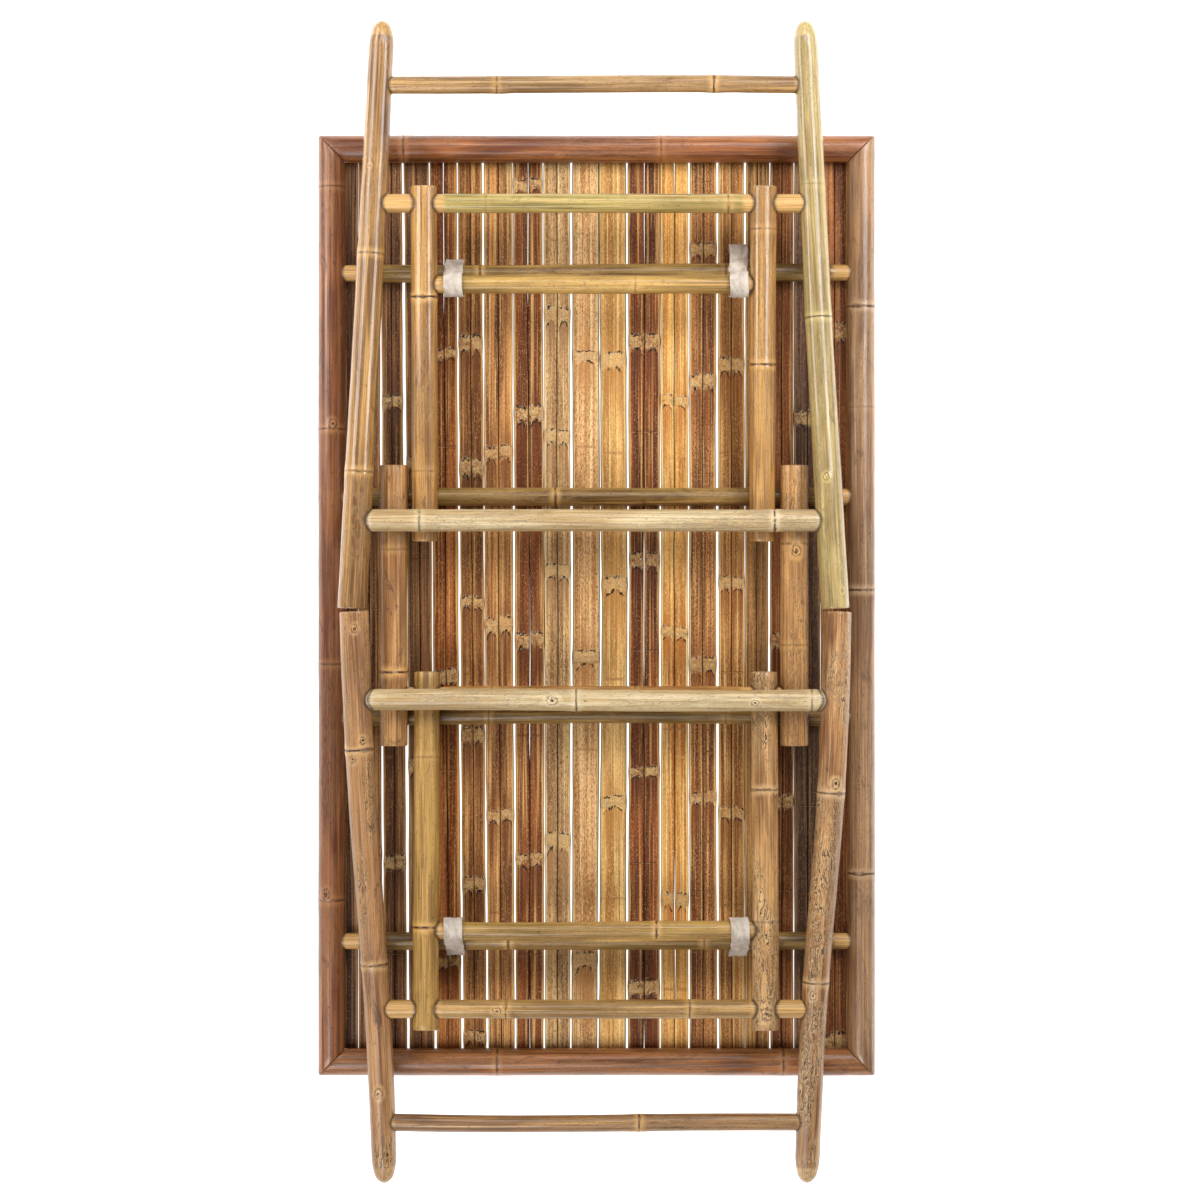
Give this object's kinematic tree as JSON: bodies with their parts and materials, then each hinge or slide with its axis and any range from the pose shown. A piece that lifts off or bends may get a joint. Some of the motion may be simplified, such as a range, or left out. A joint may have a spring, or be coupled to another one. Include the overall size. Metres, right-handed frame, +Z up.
{
  "type": "folding table",
  "caption": "Folding bamboo table, folded flat on its face: slatted top in a mitred pole rim, with hinged braces, leg frames and fabric ties.",
  "frame": {"origin": "on the ground, under the middle of the folded table's bounding box", "axes": "+Z up from the face of the table top, which lies on the ground; +Y along the table; +X across it"},
  "size_m": [0.711, 1.4596, 0.0963],
  "materials": {
    "rim_bamboo": "satin lacquer, reddish brown",
    "slat_bamboo": "split inner faces, satin, from honey to dark brown",
    "pole_bamboo": "glossy lacquer, golden tan",
    "green_bamboo": "satin lacquer, olive brown",
    "pale_bamboo": "satin lacquer, straw",
    "strap_webbing": "matt beige webbing"
  },
  "bodies": {
    "table_top": {"batten_front_inner": "green_bamboo", "batten_front_outer": "green_bamboo", "batten_rear_inner": "green_bamboo", "batten_rear_outer": "green_bamboo", "bearer_left": "pole_bamboo", "bearer_right": "pole_bamboo", "hinge_bar_front": "pole_bamboo", "hinge_bar_rear": "pole_bamboo", "rim_front": "rim_bamboo", "rim_left": "rim_bamboo", "rim_rear": "rim_bamboo", "rim_right": "rim_bamboo", "slat_01": "slat_bamboo", "slat_02": "slat_bamboo", "slat_03": "slat_bamboo", "slat_04": "slat_bamboo", "slat_05": "slat_bamboo", "slat_06": "slat_bamboo", "slat_07": "slat_bamboo", "slat_08": "slat_bamboo", "slat_09": "slat_bamboo", "slat_10": "slat_bamboo", "slat_11": "slat_bamboo", "slat_12": "slat_bamboo", "slat_13": "slat_bamboo", "slat_14": "slat_bamboo", "slat_15": "slat_bamboo", "slat_16": "slat_bamboo", "slat_17": "slat_bamboo", "slat_18": "slat_bamboo", "slat_19": "slat_bamboo", "strap_front_left": "strap_webbing", "strap_front_right": "strap_webbing", "strap_rear_left": "strap_webbing", "strap_rear_right": "strap_webbing"},
    "rear_brace": {"brace_bar_rear": "green_bamboo", "brace_pole_rear_left": "pole_bamboo", "brace_pole_rear_right": "pole_bamboo"},
    "rear_legs": {"foot_rail_rear": "pale_bamboo", "leg_rear_left": "pole_bamboo", "leg_rear_right": "pole_bamboo", "pivot_rail_rear": "green_bamboo", "top_rail_rear": "green_bamboo"},
    "front_brace": {"brace_bar_front": "green_bamboo", "brace_pole_front_left": "pole_bamboo", "brace_pole_front_right": "pole_bamboo"},
    "front_legs": {"foot_rail_front": "pale_bamboo", "leg_front_left": "pole_bamboo", "leg_front_right": "pole_bamboo", "pivot_rail_front": "green_bamboo", "top_rail_front": "green_bamboo"}
  },
  "joints": [
    {"name": "rear_brace_hinge", "type": "hinge", "parent": "table_top", "child": "rear_brace", "pos_m": [0, 0.1035, 0.04635], "axis": [1, 0, 0], "range_deg": [0, 43], "deforming": ["strap_rear_left", "strap_rear_right"]},
    {"name": "rear_leg_hinge", "type": "hinge", "parent": "rear_brace", "child": "rear_legs", "pos_m": [0, 0.5, 0.07765], "axis": [1, 0, 0], "range_deg": [-137.6, 0]},
    {"name": "front_brace_hinge", "type": "hinge", "parent": "table_top", "child": "front_brace", "pos_m": [0, -0.1195, 0.04635], "axis": [-1, 0, 0], "range_deg": [0, 43], "deforming": ["strap_front_left", "strap_front_right"]},
    {"name": "front_leg_hinge", "type": "hinge", "parent": "front_brace", "child": "front_legs", "pos_m": [0, -0.5115, 0.07765], "axis": [-1, 0, 0], "range_deg": [-137.6, 0]}
  ],
  "couplings": [
    {"joint": "rear_leg_hinge", "follows": "rear_brace_hinge", "ratio": -3.2},
    {"joint": "front_leg_hinge", "follows": "front_brace_hinge", "ratio": -3.2}
  ]
}
